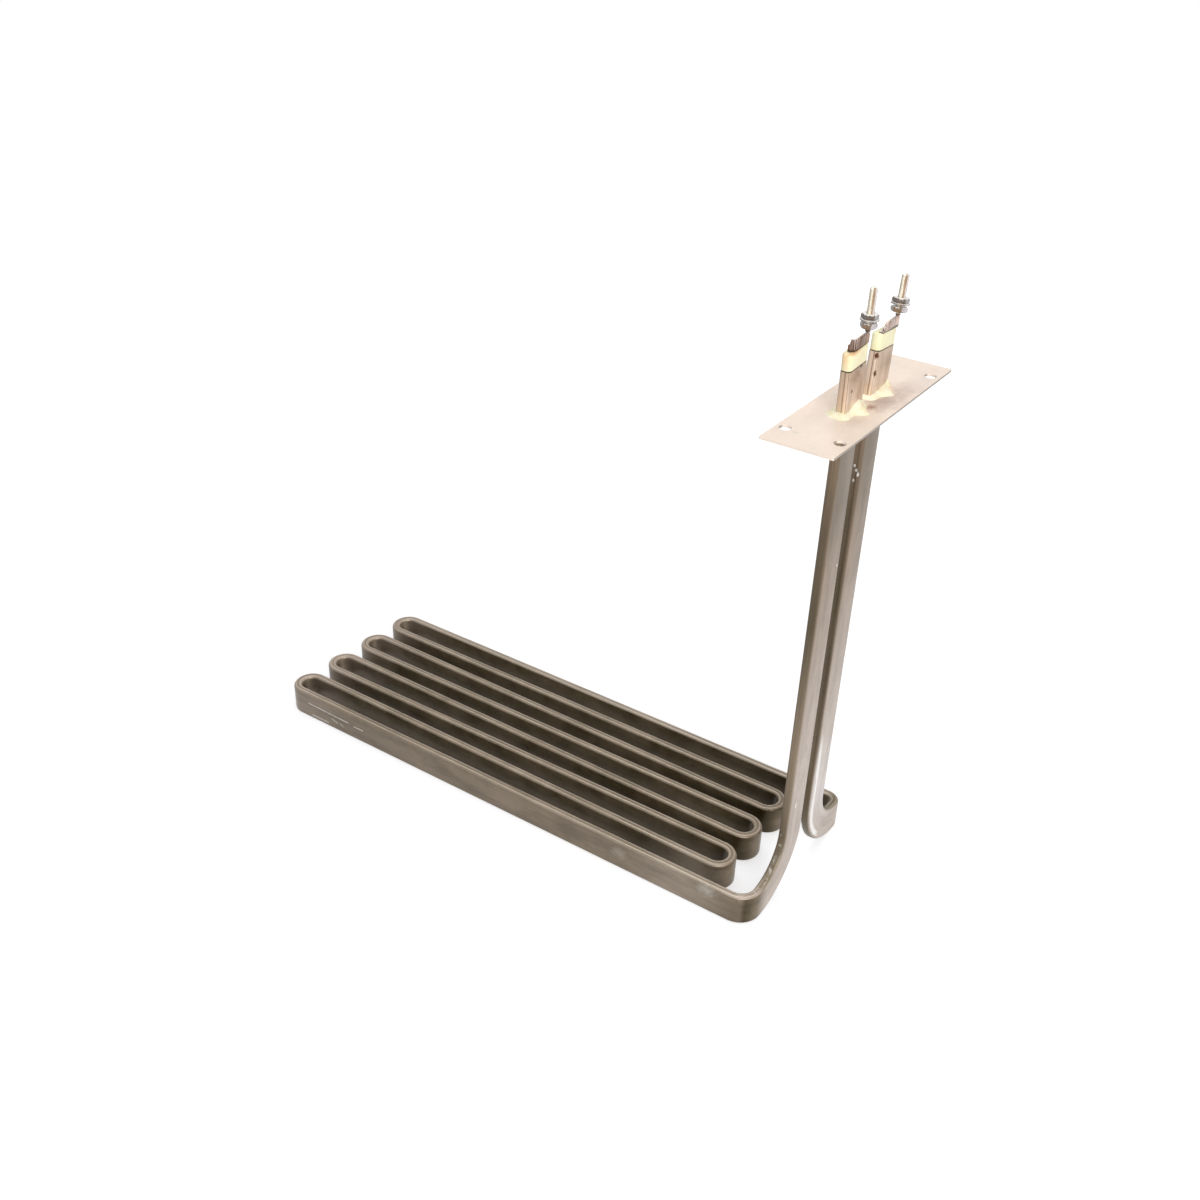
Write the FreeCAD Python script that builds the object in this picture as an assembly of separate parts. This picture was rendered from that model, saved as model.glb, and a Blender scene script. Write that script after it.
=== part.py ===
import FreeCAD, Part
import math
import os

# Flat-blade immersion heating element. Millimetres. The origin is the centre of the mounting
# plate's underside, +Z points up through the studs, +X points away from the runs' far ends.

# From the runs' far ends to the plate's far edge
OVERALL_X = 489.95

# Blade: the flattened tube. Its rounded corners are drawn as short flats.
BLADE_TALL = 25.4
BLADE_THICK = 7.3
BLADE_CORNER_R = 2.4
CORNER_FLAT_COUNT = 2
SHEATH_WALL = 1.0

# Legs and the drop from the plate to the runs
LEG_SPACING = 37.1
LEG_ABOVE_PLATE = 31.0
DROP_TO_UNDERSIDE = 390.0
EDGE_BEND_R = 44.0
FRONT_CORNER_R = 14.5
REAR_CORNER_R = 8.5

# Above the plate the legs lean apart a little, front toward -Y and rear toward +Y
FRONT_LEAN_DEG = 3.0
REAR_LEAN_DEG = 4.0
LEAN_BEND_R = 40.0

# Serpentine: return bends at the far and the near end of the runs
RETURN_R = 11.6
FAR_RETURNS = 4
FAR_PITCH = 41.6
FAR_MID_Y = -7.5
FAR_REACH_STEP = 1.3
NEAR_PITCH = 40.4
NEAR_MID_Y = -4.9
NEAR_REACH = 33.3

# Inside the sheath: a pressed flat coil along the runs and a flat cold pin down each leg
COIL_THICK = 3.0
COIL_TALL = 9.0
COLD_PIN_THICK = 2.4
COLD_PIN_WIDE = 6.0
COLD_PIN_DEPTH = 60.0

# Mounting plate
PLATE_X = 49.2
PLATE_Y = 177.4
PLATE_T = 1.6
PLATE_CORNER_R = 1.0
HOLE_D = 7.94
HOLE_SPACING_X = 36.1
HOLE_SPACING_Y = 135.0
SLOT_CLEARANCE = 0.25

# Sealant beads around the legs
BEAD_FOOT = 3.6
BEAD_TALL = 5.0
BEAD_LIP = 0.5

# End insulators
INSULATOR_TALL = 11.4
INSULATOR_CORNER_R = 3.2
INSULATOR_FLAT_COUNT = 4

# Terminal tabs: a foot on the insulator and an upright strip, whose -Y end curls and slopes. The
# front one curls widely, the rear one is nearly straight and longer, with more of its end sloping.
TAB_SHEET = 1.3
TAB_END_MARGIN = 0.2
TAB_AT_STUD_TALL = 7.7
TAB_FOOT_X = 3.0
FRONT_TAB_LENGTH = 21.5
REAR_TAB_LENGTH = 23.3
FRONT_TAB_TALL = 8.4
REAR_TAB_TALL = 6.8
FRONT_CURL_R = 4.2
REAR_CURL_R = 1.6
FRONT_END_SLOPE_RUN = 0.35
REAR_END_SLOPE_RUN = 5.0
FRONT_END_SLOPE_RISE = 3.5
REAR_END_SLOPE_RISE = 5.6
FRONT_TAB_INSET = 0.8
REAR_TAB_INSET = 0.0

# Studs, nuts and washers, size 10-32. Up to the upper nut's top the stud is drawn at its thread's
# mean diameter, and its free end at the outer one.
STUD_D = 4.83
THREAD_DEPTH = 0.26
STUD_FROM_TAB_END = 2.5
STUD_LEAN_DEG = 3.5
FRONT_STUD_LENGTH = 27.2
REAR_STUD_LENGTH = 26.0
NUT_FLATS = 9.525
NUT_TALL = 3.18
NUT_BORE_CLEARANCE = 0.06
WASHER_D = 12.0
WASHER_T = 1.0
WASHER_BORE_CLEARANCE = 0.4
LOWER_NUT_GAP = 2.3
NUT_TO_WASHER = 1.6
LOWER_NUT_TURN_DEG = 8.0
UPPER_NUT_TURN_DEG = 24.0

# Derived sizes, heights and positions
FAR_REACH = OVERALL_X - PLATE_X / 2 - BLADE_THICK / 2
NEAR_RETURNS = FAR_RETURNS - 1
WASHER_AT = LOWER_NUT_GAP + NUT_TALL + NUT_TO_WASHER
UPPER_NUT_AT = WASHER_AT + WASHER_T
STUD_FREE_FROM = UPPER_NUT_AT + NUT_TALL
SHANK_R = STUD_D / 2 - THREAD_DEPTH
CENTRE_Z = BLADE_TALL / 2 - DROP_TO_UNDERSIDE
BEND_CENTRE_Z = CENTRE_Z + EDGE_BEND_R
LEG_Y = LEG_SPACING / 2
BEND_END_Y = LEG_Y + EDGE_BEND_R
TAB_END_Y = BLADE_TALL / 2 - TAB_END_MARGIN
STUD_Y = TAB_END_Y - STUD_FROM_TAB_END
STUD_Z = INSULATOR_TALL + TAB_AT_STUD_TALL
FRONT = -1
REAR = 1

X_AXIS = FreeCAD.Vector(1, 0, 0)
Y_AXIS = FreeCAD.Vector(0, 1, 0)
Z_AXIS = FreeCAD.Vector(0, 0, 1)


def vec(x, y, z):
    return FreeCAD.Vector(x, y, z)


def by_side(side, front, rear):
    return front if side == FRONT else rear


def eased_rectangle(across, tall, radius, flats):
    """Closed outline in the XY plane, centred on the origin, its round corners drawn as short flats."""
    half_x = across / 2 - radius
    half_y = tall / 2 - radius
    points = []
    for quarter, (sx, sy) in enumerate(((1, 1), (-1, 1), (-1, -1), (1, -1))):
        for step in range(flats + 1):
            angle = math.radians(90 * (quarter + step / flats))
            x = sx * half_x + radius * math.cos(angle)
            y = sy * half_y + radius * math.sin(angle)
            points.append(vec(x, y, 0))
    return Part.makePolygon(points + points[:1])


def plain_rectangle(across, tall):
    corners = [vec(across / 2, tall / 2, 0), vec(-across / 2, tall / 2, 0)]
    corners += [vec(-across / 2, -tall / 2, 0), vec(across / 2, -tall / 2, 0)]
    return Part.Face(Part.makePolygon(corners + corners[:1]))


def blade_section():
    return Part.Face(eased_rectangle(BLADE_THICK, BLADE_TALL, BLADE_CORNER_R, CORNER_FLAT_COUNT))


def bore_section():
    return plain_rectangle(BLADE_THICK - 2 * SHEATH_WALL, BLADE_TALL - 2 * SHEATH_WALL)


def pin_section():
    return plain_rectangle(COLD_PIN_THICK, COLD_PIN_WIDE)


def placed(section, origin, heading, tall_side):
    """Stand a flat section at a point, square to its heading, with its tall side along a direction."""
    across = tall_side.cross(heading)
    turn = FreeCAD.Rotation(across, tall_side, heading, "ZYX")
    shape = section.copy()
    shape.Placement = FreeCAD.Placement(origin, turn)
    return shape


def turning_circles():
    """Centre x, centre y, radius and turning sense of every level bend, front leg to rear leg."""
    circles = [(-FRONT_CORNER_R, -BEND_END_Y, FRONT_CORNER_R, -1)]
    for i in range(FAR_RETURNS):
        far_y = FAR_MID_Y + (i - (FAR_RETURNS - 1) / 2) * FAR_PITCH
        circles.append((RETURN_R - FAR_REACH + i * FAR_REACH_STEP, far_y, RETURN_R, -1))
        if i < NEAR_RETURNS:
            near_y = NEAR_MID_Y + (i - (NEAR_RETURNS - 1) / 2) * NEAR_PITCH
            circles.append((-NEAR_REACH - RETURN_R, near_y, RETURN_R, 1))
    circles.append((-REAR_CORNER_R, BEND_END_Y, REAR_CORNER_R, -1))
    return circles


def tangent_run(first, second):
    """Start and end of the straight run that leaves one circle and joins the next."""
    x1, y1, r1, s1 = first
    x2, y2, r2, s2 = second
    distance = math.hypot(x2 - x1, y2 - y1)
    angle = math.atan2(y2 - y1, x2 - x1) - math.asin((s2 * r2 - s1 * r1) / distance)
    nx = -math.sin(angle)
    ny = math.cos(angle)
    start = vec(x1 - s1 * r1 * nx, y1 - s1 * r1 * ny, CENTRE_Z)
    end = vec(x2 - s2 * r2 * nx, y2 - s2 * r2 * ny, CENTRE_Z)
    return start, end


def level_bend(section, circle, start, end):
    """Sweep a section around a level circle from one point to another."""
    cx, cy, radius, sense = circle
    centre = vec(cx, cy, CENTRE_Z)
    heading = Z_AXIS.cross(start - centre) * (sense / radius)
    from_angle = math.atan2(start.y - cy, start.x - cx)
    to_angle = math.atan2(end.y - cy, end.x - cx)
    sweep = math.degrees((to_angle - from_angle) * sense) % 360
    return placed(section, start, heading, Z_AXIS).revolve(centre, Z_AXIS, sense * sweep)


def serpentine_pieces(section):
    """Every straight run and level bend between the two edgewise bends."""
    circles = turning_circles()
    runs = [tangent_run(first, second) for first, second in zip(circles, circles[1:])]
    arrivals = [vec(0, -BEND_END_Y, CENTRE_Z)] + [end for start, end in runs]
    departures = [start for start, end in runs] + [vec(0, BEND_END_Y, CENTRE_Z)]
    pieces = []
    for circle, arrival, departure in zip(circles, arrivals, departures):
        pieces.append(level_bend(section, circle, arrival, departure))
    for start, end in runs:
        length = end - start
        heading = length * (1 / length.Length)
        pieces.append(placed(section, start, heading, Z_AXIS).extrude(length))
    return pieces


def edge_bend(section, side):
    """Bend across the tall side of the blade, from the runs' level up into a leg."""
    start = placed(section, vec(0, side * LEG_Y, BEND_CENTRE_Z), Z_AXIS, Y_AXIS)
    return start.revolve(vec(0, side * BEND_END_Y, BEND_CENTRE_Z), X_AXIS, side * 90)


def lean_of(side):
    """Rotation from an upright leg to its leaning top."""
    return FreeCAD.Rotation(X_AXIS, -side * by_side(side, FRONT_LEAN_DEG, REAR_LEAN_DEG))


def leg_end(side):
    """Placement of the open end of the sheath: its centre, with local +Z along the leaning leg."""
    lean = lean_of(side)
    angle = math.radians(by_side(side, FRONT_LEAN_DEG, REAR_LEAN_DEG))
    rise = LEG_ABOVE_PLATE - PLATE_T
    bend_side = LEAN_BEND_R * (1 - math.cos(angle))
    straight_rise = rise - LEAN_BEND_R * math.sin(angle)
    shift = bend_side + straight_rise * math.tan(angle)
    return FreeCAD.Placement(vec(0, side * (LEG_Y + shift), LEG_ABOVE_PLATE), lean)


def leg_shaft(section, side, from_z, past_end):
    """A section carried up one leg: straight to the plate's top, a slight bend, then leaning."""
    foot = placed(section, vec(0, side * LEG_Y, from_z), Z_AXIS, Y_AXIS)
    upright = foot.extrude(vec(0, 0, PLATE_T - from_z))
    knee = placed(section, vec(0, side * LEG_Y, PLATE_T), Z_AXIS, Y_AXIS)
    lean = by_side(side, FRONT_LEAN_DEG, REAR_LEAN_DEG)
    bend = knee.revolve(vec(0, side * (LEG_Y + LEAN_BEND_R), PLATE_T), X_AXIS, -side * lean)
    end = leg_end(side)
    angle = math.radians(lean)
    leaning = (LEG_ABOVE_PLATE - PLATE_T - LEAN_BEND_R * math.sin(angle)) / math.cos(angle)
    heading = end.Rotation.multVec(Z_AXIS)
    tall_side = end.Rotation.multVec(Y_AXIS)
    top = placed(section, end.Base - heading * leaning, heading, tall_side)
    return [upright, bend, top.extrude(heading * (leaning + past_end))]


def along_element(section):
    """One section carried along the whole element, from the front leg's end to the rear leg's."""
    pieces = serpentine_pieces(section)
    for side in (FRONT, REAR):
        pieces.append(edge_bend(section, side))
        pieces.extend(leg_shaft(section, side, BEND_CENTRE_Z, 0))
    return fused(pieces)


def fused(pieces):
    return pieces[0].multiFuse(pieces[1:]).removeSplitter()


def sheath():
    section = blade_section().cut(bore_section())
    return along_element(section)


def resistance_coil():
    """Envelope of the pressed coil, from the front cold pin around the runs to the rear one."""
    section = plain_rectangle(COIL_THICK, COIL_TALL)
    pieces = serpentine_pieces(section)
    for side in (FRONT, REAR):
        pieces.append(edge_bend(section, side))
        foot = placed(section, vec(0, side * LEG_Y, BEND_CENTRE_Z), Z_AXIS, Y_AXIS)
        pieces.append(foot.extrude(vec(0, 0, -COLD_PIN_DEPTH - BEND_CENTRE_Z)))
    return fused(pieces)


def cold_pin(side):
    return fused(leg_shaft(pin_section(), side, -COLD_PIN_DEPTH, INSULATOR_TALL))


def oxide_core(filling):
    """The pressed oxide fills what the coil and the pins leave free in the bore."""
    return along_element(bore_section()).cut(filling)


def mounting_plate():
    outline = eased_rectangle(PLATE_X, PLATE_Y, PLATE_CORNER_R, CORNER_FLAT_COUNT)
    plate = Part.Face(outline).extrude(vec(0, 0, PLATE_T))
    cutters = []
    for sx in (-1, 1):
        for sy in (-1, 1):
            spot = vec(sx * HOLE_SPACING_X / 2, sy * HOLE_SPACING_Y / 2, 0)
            cutters.append(Part.makeCylinder(HOLE_D / 2, PLATE_T, spot))
    for side in (FRONT, REAR):
        opening = slot_section().extrude(vec(0, 0, PLATE_T))
        opening.translate(vec(0, side * LEG_Y, 0))
        cutters.append(opening)
    return plate.cut(cutters)


def slot_section():
    """The plate's slot for a leg, a clearance wider than the blade all round."""
    growth = 2 * SLOT_CLEARANCE
    radius = BLADE_CORNER_R + SLOT_CLEARANCE
    return Part.Face(eased_rectangle(BLADE_THICK + growth, BLADE_TALL + growth, radius, CORNER_FLAT_COUNT))


def bead_outline(height, spread):
    """The blade's outline grown by a spread, at a height."""
    across = BLADE_THICK + 2 * spread
    tall = BLADE_TALL + 2 * spread
    outline = eased_rectangle(across, tall, BLADE_CORNER_R + spread, CORNER_FLAT_COUNT)
    outline.translate(vec(0, 0, height))
    return outline


def sloping_block(low, high):
    """Solid between two like outlines, with one flat side for each pair of edges."""
    faces = [Part.Face(low), Part.Face(high)]
    for below, above in zip(low.Edges, high.Edges):
        a, b = [vertex.Point for vertex in below.Vertexes]
        c, d = [vertex.Point for vertex in above.Vertexes]
        faces.append(Part.Face(Part.makePolygon([a, b, d, c, a])))
    return Part.Solid(Part.Shell(faces))


def sealant_bead(side):
    """A sloping bead of sealant that also fills the slot's clearance around the leg."""
    slope = sloping_block(bead_outline(PLATE_T, BEAD_FOOT), bead_outline(PLATE_T + BEAD_TALL, BEAD_LIP))
    bead = slope.fuse(slot_section().extrude(vec(0, 0, PLATE_T)))
    bead.translate(vec(0, side * LEG_Y, 0))
    return bead.cut(leg_shaft(blade_section(), side, 0, 0))


def end_insulator(side):
    outline = eased_rectangle(BLADE_THICK, BLADE_TALL, INSULATOR_CORNER_R, INSULATOR_FLAT_COUNT)
    block = Part.Face(outline).cut(pin_section()).extrude(vec(0, 0, INSULATOR_TALL))
    block.Placement = leg_end(side)
    return block


def tab_face_x(side):
    return BLADE_THICK / 2 - by_side(side, FRONT_TAB_INSET, REAR_TAB_INSET)


def tab_plan(side, start_y):
    """Plan of the upright strip: straight along its face, with its -Y end curled toward -X."""
    face = tab_face_x(side)
    inner = face - TAB_SHEET
    outer_r = by_side(side, FRONT_CURL_R, REAR_CURL_R)
    inner_r = outer_r - TAB_SHEET
    curl_x = face - outer_r
    curl_y = start_y + outer_r
    diagonal = math.sqrt(0.5)
    outer_middle = vec(curl_x + outer_r * diagonal, curl_y - outer_r * diagonal, 0)
    inner_middle = vec(curl_x + inner_r * diagonal, curl_y - inner_r * diagonal, 0)
    return Part.Face(Part.Wire([
        Part.makeLine(vec(face, TAB_END_Y, 0), vec(face, curl_y, 0)),
        Part.Arc(vec(face, curl_y, 0), outer_middle, vec(curl_x, start_y, 0)).toShape(),
        Part.makeLine(vec(curl_x, start_y, 0), vec(curl_x, start_y + TAB_SHEET, 0)),
        Part.Arc(vec(curl_x, start_y + TAB_SHEET, 0), inner_middle, vec(inner, curl_y, 0)).toShape(),
        Part.makeLine(vec(inner, curl_y, 0), vec(inner, TAB_END_Y, 0)),
        Part.makeLine(vec(inner, TAB_END_Y, 0), vec(face, TAB_END_Y, 0)),
    ]))


def terminal_tab(side):
    """A foot welded over the cold pin and an upright strip, level where the stud stands on it."""
    face = tab_face_x(side)
    start_y = TAB_END_Y - by_side(side, FRONT_TAB_LENGTH, REAR_TAB_LENGTH)
    tall = by_side(side, FRONT_TAB_TALL, REAR_TAB_TALL)
    slope_run = by_side(side, FRONT_END_SLOPE_RUN, REAR_END_SLOPE_RUN)
    slope_rise = by_side(side, FRONT_END_SLOPE_RISE, REAR_END_SLOPE_RISE)
    flat_y = STUD_Y - STUD_D / 2
    profile = [vec(face, start_y, 0), vec(face, start_y, tall - slope_rise)]
    profile += [vec(face, start_y + slope_run, tall), vec(face, flat_y, TAB_AT_STUD_TALL)]
    profile += [vec(face, TAB_END_Y, TAB_AT_STUD_TALL), vec(face, TAB_END_Y, 0)]
    silhouette = Part.Face(Part.makePolygon(profile + profile[:1])).extrude(vec(-BLADE_THICK, 0, 0))
    wall = tab_plan(side, start_y).extrude(vec(0, 0, tall + TAB_AT_STUD_TALL)).common(silhouette)
    foot_y = start_y + by_side(side, FRONT_CURL_R, 0)
    foot = Part.makeBox(TAB_FOOT_X, TAB_END_Y - foot_y, TAB_SHEET, vec(face - TAB_FOOT_X, foot_y, 0))
    tab = foot.fuse(wall).removeSplitter()
    tab.translate(vec(0, 0, INSULATOR_TALL))
    tab.Placement = leg_end(side) * tab.Placement
    return tab


def stud_seat(side):
    """Placement of the stud: its foot on the tab's top edge, local +Z along the leaning stud."""
    foot = vec(tab_face_x(side) - TAB_SHEET / 2, STUD_Y, STUD_Z)
    return leg_end(side) * FreeCAD.Placement(foot, FreeCAD.Rotation(X_AXIS, -STUD_LEAN_DEG))


def on_stud(shape, side):
    shape.Placement = stud_seat(side)
    return shape


def terminal_stud(side):
    """Shank and free end, trimmed along the top edge of the tab that the stud is welded to."""
    length = by_side(side, FRONT_STUD_LENGTH, REAR_STUD_LENGTH)
    shank = Part.makeCylinder(SHANK_R, STUD_FREE_FROM + STUD_D, vec(0, 0, -STUD_D))
    free_end = Part.makeCylinder(STUD_D / 2, length - STUD_FREE_FROM, vec(0, 0, STUD_FREE_FROM))
    stud = on_stud(shank.fuse(free_end), side)
    corner = vec(-2 * STUD_D, STUD_Y - 2 * STUD_D, STUD_Z - 2 * STUD_D)
    below = Part.makeBox(4 * STUD_D, 4 * STUD_D, 2 * STUD_D, corner)
    below.Placement = leg_end(side)
    return stud.cut(below)


def hex_nut(side, height, turn):
    """Hexagon nut at a height along the stud, turned about the stud by some degrees."""
    corner_r = NUT_FLATS / 2 / math.cos(math.radians(30))
    corners = []
    for i in range(6):
        angle = math.radians(60 * i + turn)
        corners.append(vec(corner_r * math.cos(angle), corner_r * math.sin(angle), height))
    body = Part.Face(Part.makePolygon(corners + corners[:1])).extrude(vec(0, 0, NUT_TALL))
    bore = Part.makeCylinder(SHANK_R + NUT_BORE_CLEARANCE, NUT_TALL, vec(0, 0, height))
    return on_stud(body.cut(bore), side)


def flat_washer(side):
    washer = Part.makeCylinder(WASHER_D / 2, WASHER_T, vec(0, 0, WASHER_AT))
    bore = Part.makeCylinder(STUD_D / 2 + WASHER_BORE_CLEARANCE, WASHER_T, vec(0, 0, WASHER_AT))
    return on_stud(washer.cut(bore), side)


def build_nodes():
    nodes = {}
    nodes["sheath"] = sheath()
    nodes["resistance_coil"] = resistance_coil()
    nodes["mounting_plate"] = mounting_plate()
    for side, end in ((FRONT, "front"), (REAR, "rear")):
        nodes["cold_pin_" + end] = cold_pin(side)
        nodes["sealant_bead_" + end] = sealant_bead(side)
        nodes["end_insulator_" + end] = end_insulator(side)
        nodes["terminal_tab_" + end] = terminal_tab(side)
        nodes["terminal_stud_" + end] = terminal_stud(side)
        nodes["lower_nut_" + end] = hex_nut(side, LOWER_NUT_GAP, LOWER_NUT_TURN_DEG)
        nodes["flat_washer_" + end] = flat_washer(side)
        nodes["upper_nut_" + end] = hex_nut(side, UPPER_NUT_AT, UPPER_NUT_TURN_DEG)
    filling = [nodes["resistance_coil"], nodes["cold_pin_front"], nodes["cold_pin_rear"]]
    nodes["oxide_core"] = oxide_core(filling)
    return nodes


os.makedirs("parts", exist_ok=True)
for name, shape in build_nodes().items():
    shape.exportStep(os.path.join("parts", name + ".step"))
    print(name, len(shape.Solids), shape.isValid(), round(shape.Volume, 1))
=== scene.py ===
import bpy
import math
from types import SimpleNamespace
from mathutils import Matrix, Vector, noise


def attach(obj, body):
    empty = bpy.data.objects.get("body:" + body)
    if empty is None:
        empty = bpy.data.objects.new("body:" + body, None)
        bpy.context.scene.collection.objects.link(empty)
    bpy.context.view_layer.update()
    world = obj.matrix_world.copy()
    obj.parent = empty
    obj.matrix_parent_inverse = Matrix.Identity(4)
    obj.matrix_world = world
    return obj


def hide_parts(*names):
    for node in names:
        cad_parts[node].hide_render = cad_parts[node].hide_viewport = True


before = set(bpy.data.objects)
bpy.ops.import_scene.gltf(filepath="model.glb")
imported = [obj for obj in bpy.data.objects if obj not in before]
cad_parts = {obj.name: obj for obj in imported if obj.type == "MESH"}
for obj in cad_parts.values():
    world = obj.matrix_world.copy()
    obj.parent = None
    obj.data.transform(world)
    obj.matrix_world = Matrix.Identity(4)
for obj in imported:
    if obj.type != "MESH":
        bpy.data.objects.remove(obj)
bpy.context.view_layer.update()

# Sizes repeated from the part's source, in metres; the origin is the plate's underside centre
MM = 0.001
BLADE_TALL = 25.4 * MM
BLADE_THICK = 7.3 * MM
BLADE_R = 2.4 * MM
LEG_Y = 18.55 * MM
LEG_TOP = 31.0 * MM
CENTRE_Z = -377.3 * MM
FLOOR_Z = -390.0 * MM
EDGE_BEND_R = 44.0 * MM
LEAN = {-1: math.radians(3.0), 1: math.radians(4.0)}
LEAN_BEND_R = 40.0 * MM
PLATE_T = 1.6 * MM
INSULATOR_TALL = 11.4 * MM
INSULATOR_R = 3.2 * MM
TAB_SHEET = 1.3 * MM
TAB_AT_STUD_TALL = 7.7 * MM
TAB_FACE_X = {-1: 2.85 * MM, 1: 3.65 * MM}
TAB_END_Y = 12.5 * MM
TAB_START_Y = {-1: -9.0 * MM, 1: -10.8 * MM}
TAB_START_TALL = {-1: 8.4 * MM, 1: 6.8 * MM}
TAB_CURL_R = {-1: 4.2 * MM, 1: 1.6 * MM}
TAB_SLOPE_RUN = {-1: 0.35 * MM, 1: 5.0 * MM}
TAB_SLOPE_RISE = {-1: 3.5 * MM, 1: 5.6 * MM}
TAB_FOOT_X = 3.0 * MM
STUD_R = 2.415 * MM
STUD_LEAN = math.radians(3.5)
STUD_Y = 10.0 * MM
STUD_Z = 19.1 * MM
STUD_LENGTH = {-1: 27.2 * MM, 1: 26.0 * MM}
NUT_FLATS = 9.525 * MM
NUT_TALL = 3.18 * MM
WASHER_R = 6.0 * MM
WASHER_T = 1.0 * MM
LOWER_NUT_AT = 2.3 * MM
WASHER_AT = 7.08 * MM
UPPER_NUT_AT = 8.08 * MM
NUT_TURN = {"lower": math.radians(8), "upper": math.radians(24)}
SIDES = {-1: "front", 1: "rear"}

# Sizes of the runs, repeated from the part's source in millimetres
FRONT_CORNER_R = 14.5
REAR_CORNER_R = 8.5
CORNER_Y = 62.55
RETURN_R = 11.6
FAR_RETURNS = 4
FAR_REACH = 461.7
FAR_REACH_STEP = 1.3
FAR_MID_Y = -7.5
FAR_PITCH = 41.6
NEAR_REACH = 33.3
NEAR_MID_Y = -4.9
NEAR_PITCH = 40.4

# Values that only the scene uses; lengths are in metres
DENT_DEPTH = 0.12 * MM
DENT_SCALE = 45
TAB_PLEAT = {-1: 2.3 * MM, 1: 1.5 * MM}
TAB_PLEATED_LENGTH = 9.5 * MM
TAB_PLEAT_FADE = 1.5 * MM
TAB_PLEAT_DEPTH = 0.55 * MM
TAB_EASE = 0.25 * MM
TAB_FOOT_FROM = {-1: 4.2 * MM, 1: 0.2 * MM}
THREAD_PITCH = 0.794 * MM
THREAD_DEPTH = 0.13 * MM
BEAD_INSIDE = 0.25 * MM
BEAD_SINK = 0.05 * MM
BEAD_LUMP = 0.35 * MM
BEAD_STEP = 1.2 * MM
BEAD_LEVELS = 14

# How many steps each stretch of the sheath's path is cut into
ABOVE_STEPS = 5
LEAN_STEPS = 4
STRAIGHT_STEPS = 60
EDGE_BEND_STEPS = 28


def level_bends():
    """Centre x, centre y, radius and turning sense, from the front leg to the rear one."""
    bends = [(-FRONT_CORNER_R, -CORNER_Y, FRONT_CORNER_R, -1)]
    for i in range(FAR_RETURNS):
        far_y = FAR_MID_Y + FAR_PITCH * (i - (FAR_RETURNS - 1) / 2)
        bends.append((RETURN_R - FAR_REACH + FAR_REACH_STEP * i, far_y, RETURN_R, -1))
        if i < FAR_RETURNS - 1:
            bends.append((-NEAR_REACH - RETURN_R, NEAR_MID_Y + NEAR_PITCH * (i - 1), RETURN_R, 1))
    bends.append((-REAR_CORNER_R, CORNER_Y, REAR_CORNER_R, -1))
    return [(x * MM, y * MM, r * MM, sense) for x, y, r, sense in bends]


TURNS = level_bends()


def ride_as(obj, material, slot, *nodes):
    """The last step for every piece: its material, what it rides on and what it stands for."""
    obj.data.materials.append(material)
    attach(obj, "root")
    if nodes:
        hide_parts(*nodes)
    return obj


def mesh_object(name, points, faces, uvs=None, smooth=True):
    mesh = bpy.data.meshes.new(name)
    mesh.from_pydata(points, [], faces)
    if uvs:
        layer = mesh.uv_layers.new(name="along")
        for polygon in mesh.polygons:
            for loop in polygon.loop_indices:
                layer.data[loop].uv = uvs[loop]
    for polygon in mesh.polygons:
        polygon.use_smooth = smooth
    mesh.update()
    obj = bpy.data.objects.new(name, mesh)
    bpy.context.scene.collection.objects.link(obj)
    return obj


def loft(name, rings, distances=None, caps=True):
    """A closed skin through rings of equal length. Its map holds distance along and place around."""
    count = len(rings[0])
    points = [p for ring in rings for p in ring]
    faces = []
    uvs = []
    distances = distances or [i * MM for i in range(len(rings))]
    for i in range(len(rings) - 1):
        for j in range(count):
            k = (j + 1) % count
            faces.append((i * count + j, i * count + k, (i + 1) * count + k, (i + 1) * count + j))
            uvs += [(distances[i], j / count), (distances[i], (j + 1) / count)]
            uvs += [(distances[i + 1], (j + 1) / count), (distances[i + 1], j / count)]
    if caps:
        last = (len(rings) - 1) * count
        faces.append(tuple(range(count - 1, -1, -1)))
        faces.append(tuple(last + j for j in range(count)))
        uvs += [(distances[0], 0.5)] * count + [(distances[-1], 0.5)] * count
    return mesh_object(name, points, faces, uvs)


def keep_edges(obj, degrees):
    """Smooth shading that keeps the edges sharper than an angle."""
    obj.data.set_sharp_from_angle(angle=math.radians(degrees))
    return obj


def eased_outline(across, tall, radius, steps):
    """Points round a rectangle with round corners, centred on the origin."""
    half_u = across / 2 - radius
    half_v = tall / 2 - radius
    points = []
    for quarter, (su, sv) in enumerate(((1, 1), (-1, 1), (-1, -1), (1, -1))):
        for step in range(steps + 1):
            angle = math.pi / 2 * (quarter + step / steps)
            points.append((su * half_u + radius * math.cos(angle), sv * half_v + radius * math.sin(angle)))
    return points


def circle(radius, z, around, turn=0.0):
    """Points round the local Z axis."""
    turns = [2 * math.pi * j / around + turn for j in range(around)]
    return [Vector((radius * math.cos(a), radius * math.sin(a), z)) for a in turns]


def leg_matrix(side):
    """From the local frame of a leg's open end to the row frame."""
    angle = LEAN[side]
    rise = LEG_TOP - PLATE_T
    shift = LEAN_BEND_R * (1 - math.cos(angle)) + (rise - LEAN_BEND_R * math.sin(angle)) * math.tan(angle)
    return Matrix.Translation((0, side * (LEG_Y + shift), LEG_TOP)) @ Matrix.Rotation(-side * angle, 4, "X")


def stud_matrix(side):
    foot = Matrix.Translation((TAB_FACE_X[side] - TAB_SHEET / 2, STUD_Y, STUD_Z))
    return leg_matrix(side) @ foot @ Matrix.Rotation(-STUD_LEAN, 4, "X")


def moved(obj, matrix):
    obj.data.transform(matrix)
    return obj


# Path of the sheath

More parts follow.
